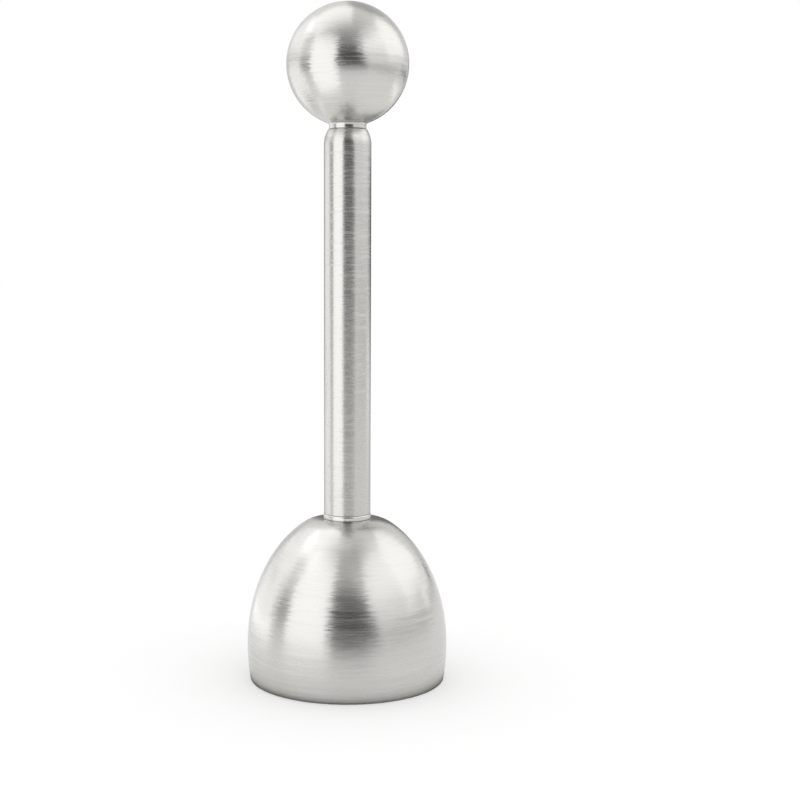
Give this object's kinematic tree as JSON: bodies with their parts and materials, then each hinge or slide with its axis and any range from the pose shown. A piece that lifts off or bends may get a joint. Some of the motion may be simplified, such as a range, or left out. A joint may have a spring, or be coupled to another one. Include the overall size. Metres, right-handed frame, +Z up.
{
  "type": "egg topper",
  "caption": "Spring-loaded egg topper: a steel bell under a slim tube handle, with a pull ball whose striker hits an anvil over the bell to score the shell.",
  "frame": {"origin": "centre of the bell's rim, in the plane that the tool stands on", "axes": "+Z up the handle's axis, from the bell to the ball; X and Y in the rim's plane"},
  "size_m": [0.0388, 0.0388, 0.1294],
  "materials": {
    "brushed_bell": "brushed round the axis",
    "brushed_tube": "brushed round the axis",
    "brushed_ball": "brushed round the axis",
    "turned_ring": "fine turned",
    "ground_rod": "ground",
    "plain_steel": "plain",
    "spring_wire": "drawn wire",
    "brass_bush": "turned"
  },
  "bodies": {
    "handle": {"bell": "brushed_bell", "handle_tube": "brushed_tube", "foot_plug": "turned_ring", "lock_washer": "plain_steel", "cap_nut": "plain_steel", "guide_bush": "brass_bush", "upper_spring_seat": "plain_steel", "return_spring": "spring_wire"},
    "spring_seat": {"thrust_washer": "plain_steel"},
    "striker": {"striker_head": "plain_steel", "pull_rod": "ground_rod", "striker_pin": "plain_steel", "ball_knob": "brushed_ball"}
  },
  "joints": [
    {"name": "pull", "type": "slide", "parent": "handle", "child": "spring_seat", "axis": [0, 0, 1], "range_m": [0, 0.018], "stiffness_N_per_m": 703.7, "springref_m": -0.009, "deforming": ["return_spring"]},
    {"name": "spin", "type": "hinge", "parent": "spring_seat", "child": "striker", "pos_m": [0, 0, 0.0525], "axis": [0, 0, 1], "continuous": true}
  ]
}
